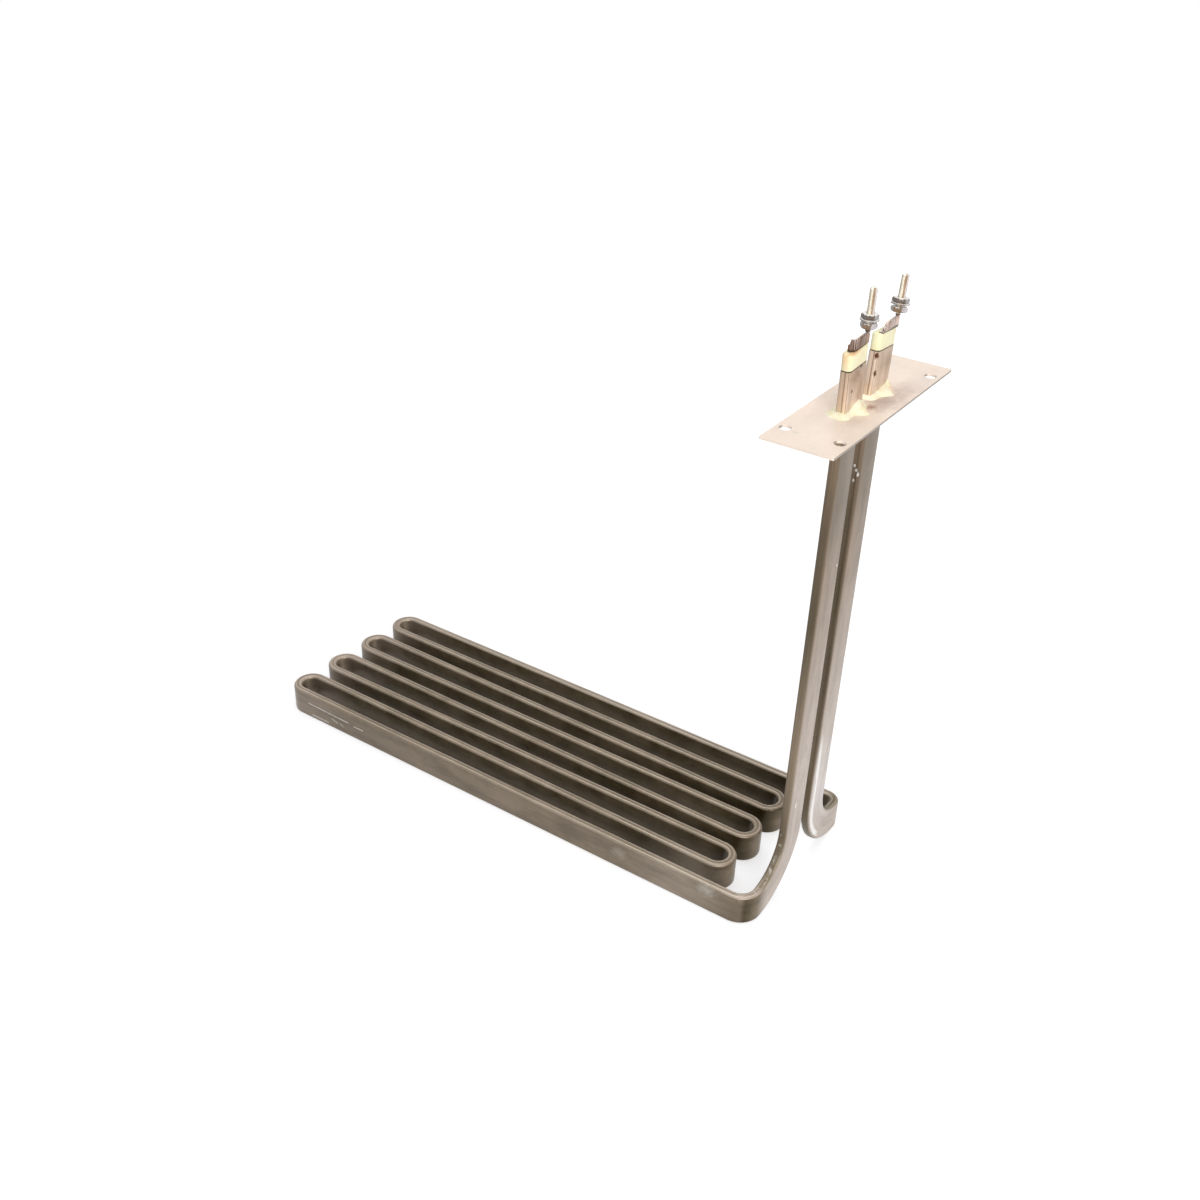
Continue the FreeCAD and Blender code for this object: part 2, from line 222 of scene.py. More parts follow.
def tangent_run(first, second):
    """Start and end of the straight run between two bends."""
    x1, y1, r1, s1 = first
    x2, y2, r2, s2 = second
    distance = math.hypot(x2 - x1, y2 - y1)
    angle = math.atan2(y2 - y1, x2 - x1) - math.asin((s2 * r2 - s1 * r1) / distance)
    nx, ny = -math.sin(angle), math.cos(angle)
    start = Vector((x1 - s1 * r1 * nx, y1 - s1 * r1 * ny, CENTRE_Z))
    end = Vector((x2 - s2 * r2 * nx, y2 - s2 * r2 * ny, CENTRE_Z))
    return start, end


def leg_stations(side):
    """From the open end down to the runs' level: each place on the path and the way of its tall side."""
    stations = []
    angle = LEAN[side]
    top = leg_matrix(side)
    axis = (top.to_3x3() @ Vector((0, 0, 1))).normalized()
    tall = (top.to_3x3() @ Vector((0, 1, 0))).normalized()
    leaning = (LEG_TOP - PLATE_T - LEAN_BEND_R * math.sin(angle)) / math.cos(angle)
    for i in range(ABOVE_STEPS + 1):
        stations.append((top.translation - axis * leaning * i / ABOVE_STEPS, tall * side))
    for i in range(1, LEAN_STEPS + 1):
        a = angle * (1 - i / LEAN_STEPS)
        y = side * (LEG_Y + LEAN_BEND_R * (1 - math.cos(a)))
        z = PLATE_T + LEAN_BEND_R * math.sin(a)
        stations.append((Vector((0, y, z)), Vector((0, math.cos(a), -side * math.sin(a))) * side))
    low = CENTRE_Z + EDGE_BEND_R
    for i in range(1, STRAIGHT_STEPS + 1):
        z = PLATE_T + (low - PLATE_T) * i / STRAIGHT_STEPS
        stations.append((Vector((0, side * LEG_Y, z)), Vector((0, side, 0))))
    for i in range(1, EDGE_BEND_STEPS + 1):
        a = math.pi / 2 * i / EDGE_BEND_STEPS
        y = side * (LEG_Y + EDGE_BEND_R * (1 - math.cos(a)))
        z = low - EDGE_BEND_R * math.sin(a)
        stations.append((Vector((0, y, z)), Vector((0, side * math.cos(a), math.sin(a)))))
    return stations


def level_stations():
    """Corner, runs and return bends from the end of the front edge bend to the start of the rear one."""
    runs = [tangent_run(a, b) for a, b in zip(TURNS, TURNS[1:])]
    arrivals = [Vector((0, TURNS[0][1], CENTRE_Z))] + [end for start, end in runs]
    departures = [start for start, end in runs] + [Vector((0, TURNS[-1][1], CENTRE_Z))]
    up = Vector((0, 0, 1))
    stations = []
    for i, (x, y, r, s) in enumerate(TURNS):
        a0 = math.atan2(arrivals[i].y - y, arrivals[i].x - x)
        a1 = math.atan2(departures[i].y - y, departures[i].x - x)
        sweep = ((a1 - a0) * s) % (2 * math.pi)
        steps = max(14, round(sweep * 10))
        for k in range(1, steps + 1):
            a = a0 + s * sweep * k / steps
            stations.append((Vector((x + r * math.cos(a), y + r * math.sin(a), CENTRE_Z)), up))
        if i < len(runs):
            start, end = runs[i]
            for k in range(1, STRAIGHT_STEPS + 1):
                stations.append((start.lerp(end, k / STRAIGHT_STEPS), up))
    return stations


def dented(point, outward):
    """Push a skin point inward by a smooth random amount, never outward."""
    return point - outward * DENT_DEPTH * (0.5 + 0.5 * noise.noise(point * DENT_SCALE))


def build_sheath():
    """The whole flattened tube as one skin."""
    stations = leg_stations(-1) + level_stations() + leg_stations(1)[::-1][1:]
    outline = eased_outline(BLADE_THICK, BLADE_TALL, BLADE_R, 6)
    rings = []
    distances = []
    length = 0.0
    for i, (place, tall) in enumerate(stations):
        before = stations[max(i - 1, 0)][0]
        after = stations[min(i + 1, len(stations) - 1)][0]
        across = tall.cross((after - before).normalized()).normalized()
        if i:
            length += (place - before).length
        distances.append(length)
        ring = []
        for u, v in outline:
            outward = (across * u / BLADE_THICK + tall * v / BLADE_TALL).normalized()
            ring.append(dented(place + across * u + tall * v, outward))
        rings.append(ring)
    return loft("sheath_skin", rings, distances)


# Helpers for the materials

def new_material(name):
    material = bpy.data.materials.new(name)
    material.use_nodes = True
    tree = material.node_tree
    shader = tree.nodes["Principled BSDF"]
    return material, tree, shader


def feed(tree, socket, value):
    """Link a socket to another, or give it a constant value."""
    if isinstance(value, bpy.types.NodeSocket):
        tree.links.new(value, socket)
    else:
        socket.default_value = value


def add(tree, kind, **values):
    """A new node, with its sockets fed and its settings set by name."""
    node = tree.nodes.new(kind)
    for key, value in values.items():
        if key in node.inputs.keys():
            feed(tree, node.inputs[key], value)
        else:
            setattr(node, key, value)
    return node


def noise_node(tree, vector, scale, detail=4.0, rough=0.55):
    node = add(tree, "ShaderNodeTexNoise", Vector=vector, Scale=scale, Detail=detail, Roughness=rough)
    return node.outputs["Fac"]


def ramp(tree, value, stops):
    node = add(tree, "ShaderNodeValToRGB", Fac=value)
    elements = node.color_ramp.elements
    while len(elements) < len(stops):
        elements.new(0.5)
    for element, (place, colour) in zip(elements, stops):
        element.position = place
        element.color = (*colour, 1.0)
    return node.outputs["Color"]


def slope(tree, value, low, high, from_value=0.0, to_value=1.0):
    """A value clamped between two places and spread between two results."""
    limits = {"From Min": low, "From Max": high, "To Min": from_value, "To Max": to_value}
    return add(tree, "ShaderNodeMapRange", Value=value, **limits).outputs["Result"]


def mixed(tree, factor, a, b, mode="MIX"):
    node = add(tree, "ShaderNodeMix", data_type="RGBA", blend_type=mode)
    for socket, value in ((node.inputs[0], factor), (node.inputs[6], a), (node.inputs[7], b)):
        feed(tree, socket, (*value, 1.0) if isinstance(value, tuple) else value)
    return node.outputs[2]


def math_node(tree, operation, a, b=0.0):
    node = add(tree, "ShaderNodeMath", operation=operation)
    feed(tree, node.inputs[0], a)
    feed(tree, node.inputs[1], b)
    return node.outputs[0]


def stretched(tree, vector, scale):
    return add(tree, "ShaderNodeMapping", Scale=scale, Vector=vector).outputs["Vector"]


def bump(tree, shader, height, strength, distance):
    node = add(tree, "ShaderNodeBump", Strength=strength, Distance=distance, Height=height)
    tree.links.new(node.outputs["Normal"], shader.inputs["Normal"])


def place_of(tree):
    return add(tree, "ShaderNodeTexCoord").outputs["Object"]


def map_place(tree):
    """Distance along a skin and place around it."""
    return add(tree, "ShaderNodeUVMap", uv_map="along").outputs["UV"]


def axis_of(tree, vector, axis):
    return add(tree, "ShaderNodeSeparateXYZ", Vector=vector).outputs[axis]


def near_spot(tree, place, centre, radii, ragged, soft):
    """One inside a ragged ellipsoid round a point, in millimetres, and nothing outside it."""
    shift = [-c / r for c, r in zip(centre, radii)]
    scale = [1 / (r * MM) for r in radii]
    inside = add(tree, "ShaderNodeMapping", Location=shift, Scale=scale, Vector=place).outputs["Vector"]
    reach = add(tree, "ShaderNodeVectorMath", operation="LENGTH")
    tree.links.new(inside, reach.inputs[0])
    wobble = slope(tree, noise_node(tree, inside, 2.2, 4.0, 0.6), 0.3, 0.7, -ragged, ragged)
    total = math_node(tree, "ADD", reach.outputs["Value"], wobble)
    rim = 1.1
    return slope(tree, total, rim - soft, rim, 1.0, 0.0)


def turned_to(tree, direction):
    """How far a face is turned toward a direction."""
    node = add(tree, "ShaderNodeVectorMath", operation="DOT_PRODUCT")
    tree.links.new(add(tree, "ShaderNodeNewGeometry").outputs["Normal"], node.inputs[0])
    node.inputs[1].default_value = direction
    return node.outputs["Value"]


def band(tree, value, low, high, soft):
    """One where a value lies between two limits."""
    rising = slope(tree, value, low - soft, low + soft)
    return math_node(tree, "MULTIPLY", rising, slope(tree, value, high - soft, high + soft, 1.0, 0.0))


def both(tree, *values):
    """The product of masks and shares."""
    result = values[0]
    for value in values[1:]:
        result = math_node(tree, "MULTIPLY", result, value)
    return result


def over(tree, value, start, end, low=0.0, high=1.0):
    """A value that runs from low to high between two places in millimetres."""
    return slope(tree, value, start * MM, end * MM, low, high)


def within(tree, value, low, high, soft):
    """One between two places in millimetres, with soft ends."""
    return band(tree, value, low * MM, high * MM, soft * MM)


def paint(tree, base, colour, *masks):
    """A colour laid over another, as far as the product of the masks lets it."""
    return mixed(tree, both(tree, *masks), base, colour)


def spotted(tree, base, place, spots, ragged=0.35, soft=0.35):
    """Ragged spots: centre and radii in millimetres, colour, share and, for some, a softness."""
    for centre, radii, colour, share, *own_soft in spots:
        spot = near_spot(tree, place, centre, radii, ragged, own_soft[0] if own_soft else soft)
        base = paint(tree, base, colour, spot, share)
    return base


def dress(tree, shader, base, rough, metallic=0.0, specular=0.5):
    """Give a material its colour, roughness and shares of metal and gloss."""
    values = {"Base Color": base, "Roughness": rough, "Metallic": metallic, "Specular IOR Level": specular}
    for name, value in values.items():
        feed(tree, shader.inputs[name], value)


def height_ramp(tree, height, stops):
    """Colours at heights in millimetres, from the runs' middle to the legs' tops."""
    low, high = -377.0, 31.0
    share = over(tree, height, low, high)
    return ramp(tree, share, [((z - low) / (high - low), colour) for z, colour in stops])


# Sheath's material

# The legs' colours at heights in millimetres, on the wide and on the narrow faces; the wide faces are
# painted lighter than the narrow ones, and the changes with height are partly heat tint and partly painted
# light and shade
WIDE_FACE = [
    (-260, (0.52, 0.45, 0.40)), (-180, (0.39, 0.325, 0.275)), (-110, (0.28, 0.215, 0.165)),
    (-60, (0.18, 0.14, 0.10)), (0, (0.18, 0.14, 0.10)), (3, (0.84, 0.69, 0.57)),
    (12, (0.76, 0.62, 0.52)), (21, (0.52, 0.40, 0.31))]
NARROW_FACE = [
    (-370, (0.18, 0.15, 0.105)), (-260, (0.40, 0.32, 0.24)), (-150, (0.15, 0.12, 0.08)),
    (-80, (0.17, 0.13, 0.09)), (-25, (0.28, 0.21, 0.15)), (3, (0.94, 0.77, 0.60)),
    (14, (0.76, 0.60, 0.48)), (30, (0.56, 0.45, 0.36))]

# Scratches on the first run's outer face, in millimetres:
# the far end's x, length, depth below the top and fall
SCRATCHES = [(-440, 48, 10, 1), (-386, 11, 12, 0), (-436, 20, 21, 0), (-412, 7, 15, 2), (-402, 4, 16, 2)]

CHIP = (0.95, 0.93, 0.90)
SHEATH_SPOTS = [
    ((3.6, -22.5, 27.0), (3.0, 10.0, 7.0), (0.22, 0.12, 0.06), 0.6, 0.9),
    ((3.6, -14.0, 14.0), (3.0, 5.0, 9.0), (0.36, 0.22, 0.14), 0.55, 0.8),
    ((3.6, -26, 17), (1.5, 1.1, 1.2), (0.12, 0.03, 0.015), 1.0),
    ((3.2, 8.0, 18), (1.8, 0.9, 2.0), (0.09, 0.045, 0.02), 1.0),
    ((3.0, 8, 29.5), (2.0, 1.3, 2.4), (0.09, 0.035, 0.02), 1.0, 0.4),
    ((3.6, -16.5, 30.5), (1.5, 1.9, 1.3), (0.09, 0.05, 0.03), 1.0, 0.4),
    ((3.6, 27.0, 22.0), (3.0, 7.0, 8.0), (0.34, 0.245, 0.185), 0.6, 0.9),
    ((-0.5, 6, -45.5), (0.8, 0.8, 1.1), CHIP, 0.95, 0.4),
    ((1, 6, -48.5), (0.9, 0.9, 1.2), CHIP, 0.95, 0.4),
    ((2.5, 6, -51.5), (0.8, 0.8, 1.9), CHIP, 0.95, 0.4),
    ((0, 6, -56), (0.7, 0.7, 1.2), CHIP, 0.95, 0.4),
    ((3.5, -10, -111.5), (0.9, 0.9, 1.0), CHIP, 0.95, 0.4),
    ((3.5, -22, -310), (1.0, 0.9, 3.0), CHIP, 0.95, 0.4),
    ((-110, -82, -375), (8, 4, 6), (0.66, 0.60, 0.52), 0.4, 0.9),
    ((-33, -81, -370), (9, 4, 6), (0.80, 0.75, 0.68), 0.5, 0.9)]


def sheath_values(tree):
    """What the sheath's masks read: place, facing, place on the skin's map, and noises."""
    v = SimpleNamespace(place=place_of(tree))
    v.x, v.y, v.height = (axis_of(tree, v.place, axis) for axis in "XYZ")
    facing = add(tree, "ShaderNodeNewGeometry").outputs["Normal"]
    v.nx, v.ny, v.nz = (axis_of(tree, facing, axis) for axis in "XYZ")
    skin = map_place(tree)
    v.along = axis_of(tree, skin, "X")
    v.around = axis_of(tree, skin, "Y")
    v.streaks = noise_node(tree, stretched(tree, skin, (16, 50, 1)), 1.0, 6.0, 0.65)
    v.hair = noise_node(tree, stretched(tree, skin, (60, 520, 1)), 1.0, 3.0, 0.6)
    v.dashes = noise_node(tree, stretched(tree, skin, (75, 330, 1)), 1.0, 4.0, 0.7)
    v.clouds = noise_node(tree, v.place, 34.0, 5.0, 0.62)
    v.specks = noise_node(tree, v.place, 520.0, 2.0, 0.5)
    v.flecks = noise_node(tree, v.place, 230.0, 5.0, 0.7)
    v.front = over(tree, v.y, 0, -1)
    v.rear = over(tree, v.y, -1, 1)
    v.first_run = over(tree, v.y, -76.5, -78.5)
    v.on_runs = over(tree, v.height, -362, -364)
    return v


def leg_colours(tree, v):
    """The legs by height, the wide faces painted lighter than the narrow ones, with painted light and shade
    above the plate, a painted highlight on the rear foot, and darker and paler stretches on single faces.
    """
    narrow = height_ramp(tree, v.height, NARROW_FACE)
    narrow = paint(tree, narrow, (0.80, 0.66, 0.56), v.rear, over(tree, v.height, 10, 13))
    # The wide faces are painted lighter than the narrow ones, as lit and shaded copies of the leg colour
    flat_on = slope(tree, math_node(tree, "ABSOLUTE", v.nx), 0.50, 0.97)
    leg = mixed(tree, flat_on, narrow, height_ramp(tree, v.height, WIDE_FACE))
    rear_low = both(tree, v.rear, within(tree, v.height, -285, -175, 20))
    leg = paint(tree, leg, (0.075, 0.058, 0.04), rear_low, slope(tree, v.ny, -0.5, -0.8), 0.55)
    # Painted highlight low on the rear leg's wide face
    lit_rear_foot = both(tree, v.rear, within(tree, v.height, -350, -285, 20), flat_on)
    leg = paint(tree, leg, (0.84, 0.80, 0.78), lit_rear_foot, 0.6)

    above = over(tree, v.height, 0, 2)
    frontward = slope(tree, v.ny, 0.0, -0.1)
    # Painted highlight in a line on the rounded corner above the plate
    highlight_line = both(tree, above, band(tree, v.nx, 0.80, 0.97, 0.04), frontward)
    leg = paint(tree, leg, (0.93, 0.84, 0.74), highlight_line, 0.2)
    seam = both(tree, above, slope(tree, v.ny, -0.8, -0.95), within(tree, v.x, 0.4, 1.1, 0.2))
    leg = paint(tree, leg, (0.16, 0.10, 0.07), seam, 0.7)
    # Painted shade in a band round the corner above the plate; there is no groove in the shape
    corner_shade_band = both(tree, above, band(tree, v.nx, 0.55, 0.78, 0.04), frontward)
    leg = paint(tree, leg, (0.24, 0.17, 0.12), corner_shade_band, 0.45)
    # Painted shade on the -X half of the narrow faces above the plate
    shaded_half = both(tree, above, slope(tree, v.ny, 0.0, -0.3), over(tree, v.x, 0, -3))
    return paint(tree, leg, (0.30, 0.23, 0.17), shaded_half, 0.45)


def run_colours(tree, v):
    """The runs, which have been hot: olive walls, painted light on the tops, the first run's outer face,
    the ends, the front corner and the far run's top, and painted shade on the walls between the runs.
    """
    # Lit and shaded copies of the hot colour: painted light on the tops and the first run's outer face,
    # painted shade on the other walls
    top = ramp(tree, v.clouds, [
        (0.30, (0.205, 0.166, 0.126)), (0.52, (0.275, 0.225, 0.175)), (0.75, (0.37, 0.305, 0.245))])
    side = ramp(tree, v.clouds, [
        (0.34, (0.125, 0.098, 0.060)), (0.50, (0.205, 0.166, 0.115)), (0.72, (0.28, 0.23, 0.17))])
    lit_outer = ramp(tree, v.clouds, [
        (0.30, (0.255, 0.208, 0.158)), (0.55, (0.30, 0.247, 0.192)), (0.80, (0.36, 0.30, 0.24))])
    hot = mixed(tree, slope(tree, v.nz, 0.45, 0.85), side, top)
    hot = mixed(tree, both(tree, v.first_run, slope(tree, v.ny, -0.2, -0.8)), hot, lit_outer)
    # Painted shade on the walls between the runs, deepest at the near loops
    gap_wall_shade = both(tree, over(tree, math_node(tree, "ABSOLUTE", v.y), 77.5, 75.5),
                 slope(tree, v.ny, -0.45, -0.9), slope(tree, v.nz, 0.6, 0.3))
    hot = paint(tree, hot, (0.055, 0.038, 0.016), gap_wall_shade, over(tree, v.x, -58, -43, 0.35, 0.92))
    # Painted light on the far run's top, the far ends, the first run's near end, the near loops' tops and
    # the front corner's top
    lit_last_top = both(tree, over(tree, v.y, 56, 61), slope(tree, v.nz, 0.45, 0.8))
    hot = paint(tree, hot, (0.42, 0.365, 0.31), lit_last_top, 0.9)
    far_end = both(tree, over(tree, v.x, -405, -445), slope(tree, v.nz, 0.2, 0.8, 0.6, 1.0))
    hot = paint(tree, hot, (0.43, 0.36, 0.31), far_end, 0.75)
    near_end = both(tree, within(tree, v.x, -85, -30, 20), over(tree, v.y, -50, -60))
    hot = paint(tree, hot, (0.52, 0.45, 0.38), near_end, 0.6)
    lit_near_tops = both(tree, over(tree, v.x, -80, -30), slope(tree, v.nz, 0.5, 0.8))
    hot = paint(tree, hot, (0.40, 0.33, 0.27), lit_near_tops, 0.4)
    corner = both(tree, over(tree, v.x, -30, -18), slope(tree, v.nz, 0.4, 0.8),
                  over(tree, v.y, -55, -60))
    return paint(tree, hot, (0.52, 0.44, 0.38), corner, 0.85)


def wear_and_painted_light(tree, v, base):
    """Streaks and specks, with painted highlights along the runs' top edges, on the tops' rims and in short
    bright dashes, and painted shade in a dark line along the tops.
    """
    bright = slope(tree, v.streaks, 0.35, 0.70, 0.0, 0.35)
    base = mixed(tree, bright, base, (0.66, 0.62, 0.56), "SOFT_LIGHT")
    dark = slope(tree, v.streaks, 0.56, 0.34, 0.0, 0.40)
    base = mixed(tree, dark, base, (0.30, 0.26, 0.20), "MULTIPLY")
    base = paint(tree, base, (0.60, 0.54, 0.47), slope(tree, v.hair, 0.64, 0.80, 0.0, 0.35))
    # Painted highlight along the runs' rounded top edges, strongest on the first run's near part
    lit_edge = both(tree, v.first_run, over(tree, v.x, -300, -220, 0.0, 0.8))
    edge = both(tree, band(tree, v.nz, 0.45, 0.88, 0.08), slope(tree, v.streaks, 0.42, 0.62, 0.15, 0.75),
                over(tree, v.height, -350, -360), math_node(tree, "MAXIMUM", lit_edge, 0.25))
    base = paint(tree, base, (0.62, 0.55, 0.46), edge, 0.75)
    # Painted shade in a dark line along the middle of the runs' tops
    middle = both(tree, band(tree, v.around, 0.218, 0.246, 0.004), v.on_runs,
                  slope(tree, v.streaks, 0.6, 0.45, 0.2, 0.9))
    base = paint(tree, base, (0.12, 0.095, 0.06), middle, 0.45)
    base = paint(tree, base, (0.09, 0.07, 0.04), slope(tree, v.hair, 0.36, 0.26), v.on_runs, 0.55)
    # Painted highlights on the rims either side of the runs' tops
    rim_highlights = math_node(tree, "MAXIMUM", band(tree, v.around, 0.176, 0.208, 0.004),
                     band(tree, v.around, 0.256, 0.284, 0.004))
    rim_highlights = both(tree, rim_highlights, v.on_runs, slope(tree, v.streaks, 0.38, 0.60, 0.1, 1.0))
    base = paint(tree, base, (0.74, 0.67, 0.58), rim_highlights, 0.8)
    base = paint(tree, base, (0.06, 0.048, 0.035), slope(tree, v.specks, 0.68, 0.78, 0.0, 0.5))
    # Painted glints in short bright dashes on the runs' top edges
    dashes = both(tree, slope(tree, v.dashes, 0.62, 0.66), band(tree, v.nz, 0.30, 0.93, 0.05))
    base = paint(tree, base, (0.95, 0.92, 0.87), dashes, 0.9)
    bend_marks = both(tree, slope(tree, v.flecks, 0.52, 0.60), within(tree, v.height, -376, -330, 6),
                      band(tree, v.around, 0.215, 0.27, 0.01), over(tree, v.x, -12, -4), v.front)
    return paint(tree, base, (0.80, 0.75, 0.68), bend_marks, 0.6)


def scratches_and_glint(tree, v, base):
    """Bright scratches on the first run's far end and a painted glint low on the rear leg's corner."""
    top_z = CENTRE_Z + BLADE_TALL / 2
    for far_x, length, below, fall in SCRATCHES:
        fallen = over(tree, v.x, far_x, far_x + length, 0.0, fall * MM)
        depth = math_node(tree, "SUBTRACT", top_z - below * MM, v.height)
        off = math_node(tree, "ABSOLUTE", math_node(tree, "SUBTRACT", depth, fallen))
        scratch = both(tree, over(tree, off, 0.6, 0.3), within(tree, v.x, far_x, far_x + length, 0.6),
                       over(tree, v.y, -83, -84), slope(tree, v.flecks, 0.35, 0.5, 0.3, 1.0))
        base = paint(tree, base, (0.95, 0.92, 0.88), scratch, 0.9)
    wander = math_node(tree, "ADD", v.around, slope(tree, v.streaks, 0.3, 0.7, -0.003, 0.003))
    glint = both(tree, over(tree, v.y, 0, 2), slope(tree, v.nx, 0.75, 0.9),
                 band(tree, wander, 0.9655, 0.9725, 0.0012), over(tree, v.height, -262, -285),
                 over(tree, v.y, 31, 24))
    return paint(tree, base, (0.97, 0.95, 0.93), glint, 0.95)


def shaded(tree, v, base):
    """Darker faces where the photograph has its shade, and richer colour all over."""
    black = (0.0, 0.0, 0.0)
    base = paint(tree, base, black, slope(tree, v.ny, -0.2, -0.9), over(tree, v.height, -1, -4), 0.30)
    behind = both(tree, slope(tree, v.ny, 0.1, 0.5), over(tree, v.height, -360, -365),
                  over(tree, v.y, -76, -78))
    base = paint(tree, base, black, behind, 0.35)
    richer = add(tree, "ShaderNodeHueSaturation", Saturation=1.16)
    tree.links.new(base, richer.inputs["Color"])
    return richer.outputs["Color"]


def sheath_material():
    """Stainless tube: olive-brown where it has been hot, greyer and brighter toward the terminals, with
    painted light and shade on many faces.
    """
    material, tree, shader = new_material("sheath_steel")
    v = sheath_values(tree)
    past_front_bend = both(tree, over(tree, v.along, 424, 436), v.front)
    on_leg = math_node(tree, "MAXIMUM", over(tree, v.height, -366, -345), over(tree, v.x, -10, -2))
    on_leg = both(tree, on_leg, slope(tree, past_front_bend, 0.0, 1.0, 1.0, 0.0))
    base = mixed(tree, on_leg, run_colours(tree, v), leg_colours(tree, v))
    base = scratches_and_glint(tree, v, wear_and_painted_light(tree, v, base))
    base = shaded(tree, v, spotted(tree, base, v.place, SHEATH_SPOTS))
    dress(tree, shader, base, slope(tree, v.clouds, 0.3, 0.8, 0.26, 0.42), 0.35, 0.35)
    grain = math_node(tree, "ADD", v.hair, math_node(tree, "MULTIPLY", v.specks, 0.6))
    bump(tree, shader, grain, 0.22, 0.25 * MM)
    return material


# Other materials

PLATE_SPOTS = [
    ((12, 8, 1.6), (12, 22, 6), (0.58, 0.44, 0.38), 0.9),
    ((15, 33, 1.6), (12, 17, 6), (0.64, 0.50, 0.44), 0.8),
    ((9, -6, 1.6), (4, 5, 5), (0.38, 0.22, 0.16), 0.9),
    ((10, -33, 1.6), (8, 12, 6), (0.74, 0.61, 0.53), 0.6),
    ((-12, -20, 1.6), (9, 30, 6), (0.80, 0.68, 0.59), 0.5),
    ((18, 55, 1.6), (12, 26, 6), (0.80, 0.68, 0.61), 0.6),
    ((-10, -70, 1.6), (3, 2, 4), (0.74, 0.66, 0.56), 0.8)]
SEALANT_SPOTS = [
    ((9, 32, 3), (6, 7, 5), (0.93, 0.70, 0.46), 0.8),
    ((9, -14, 3), (5, 5, 4), (0.95, 0.76, 0.50), 0.7),
    # The last spot is painted shade standing for a small hole in the bead
    ((3.5, 37.0, 8.0), (1.4, 0.9, 0.9), (0.05, 0.045, 0.03), 1.0)]
INSULATOR_SPOTS = [
    ((-1, -34, 38), (4, 7, 8), (0.99, 0.70, 0.40), 0.85),
    ((2.5, -28, 42.2), (2.5, 9, 2.0), (0.80, 0.42, 0.18), 0.85),
    ((3.6, -18, 38), (2, 8, 5), (0.98, 0.80, 0.50), 0.55),
    ((3.6, 25, 40), (2, 7, 4), (0.99, 0.86, 0.60), 0.4)]
TAB_BURN = [((3, 9.0, 46), (4, 4.5, 7), (0.15, 0.095, 0.07), 0.85)]

# The direction across which the small round parts' painted bands of light, shade and reflection are laid
ACROSS = (0.822, 0.569, 0.032)
UP = (0, 0, 1)


def plate_material():
    """Satin sheet, pale and slightly pink, with brown marks round the sealant and painted shade on its +X
    edge.
    """
    material, tree, shader = new_material("plate_steel")
    place = place_of(tree)
    clouds = noise_node(tree, place, 30.0, 5.0, 0.6)
    grain = noise_node(tree, stretched(tree, place, (900, 60, 400)), 1.0, 3.0, 0.6)
    base = ramp(tree, clouds, [
        (0.25, (0.86, 0.735, 0.64)), (0.55, (0.95, 0.815, 0.70)), (0.85, (0.98, 0.86, 0.76))])
    base = paint(tree, base, (0.70, 0.58, 0.50), slope(tree, grain, 0.5, 0.75, 0.0, 0.22))
    base = spotted(tree, base, place, PLATE_SPOTS, 0.3, 0.9)
    # Painted shade on the plate's +X edge
    edge = slope(tree, turned_to(tree, (1, 0, 0)), 0.7, 0.9, 0.0, 0.85)
    base = paint(tree, base, (0.30, 0.26, 0.22), edge)
    dress(tree, shader, base, slope(tree, grain, 0.3, 0.7, 0.36, 0.48), 0.2, 0.3)
    bump(tree, shader, grain, 0.12, 0.2 * MM)
    return material


def sealant_material():
    """Cream sealant, with a warmer patch on each bead and one dark spot of painted shade standing for a
    small hole.
    """
    material, tree, shader = new_material("sealant")
    place = place_of(tree)
    clouds = noise_node(tree, place, 150.0, 4.0, 0.6)
    base = ramp(tree, clouds, [
        (0.30, (0.93, 0.80, 0.52)), (0.52, (0.97, 0.91, 0.66)), (0.80, (1.0, 0.97, 0.80))])
    dress(tree, shader, spotted(tree, base, place, SEALANT_SPOTS), 0.42)
    shader.inputs["Subsurface Weight"].default_value = 0.08
    shader.inputs["Subsurface Scale"].default_value = 0.002
    bump(tree, shader, noise_node(tree, place, 260.0, 3.0, 0.5), 0.35, 0.6 * MM)
    return material


def insulator_material():
    """Cream block, a little warmer toward its corners, with painted shade along its recessed joint with the
    tube.
    """
    material, tree, shader = new_material("insulator")
    place = place_of(tree)
    clouds = noise_node(tree, place, 90.0, 4.0, 0.6)
    base = ramp(tree, clouds, [
        (0.30, (0.97, 0.90, 0.56)), (0.60, (0.98, 0.95, 0.63)), (0.85, (1.0, 0.97, 0.74))])
    base = spotted(tree, base, place, INSULATOR_SPOTS, 0.4, 0.8)
    # Painted shade in the recess along the joint with the tube
    rise = axis_of(tree, map_place(tree), "X")
    base = paint(tree, base, (0.055, 0.025, 0.012), over(tree, rise, 0.6, 1.0, 1.0, 0.0))
    dress(tree, shader, base, 0.38)
    bump(tree, shader, clouds, 0.15, 0.4 * MM)
    return material


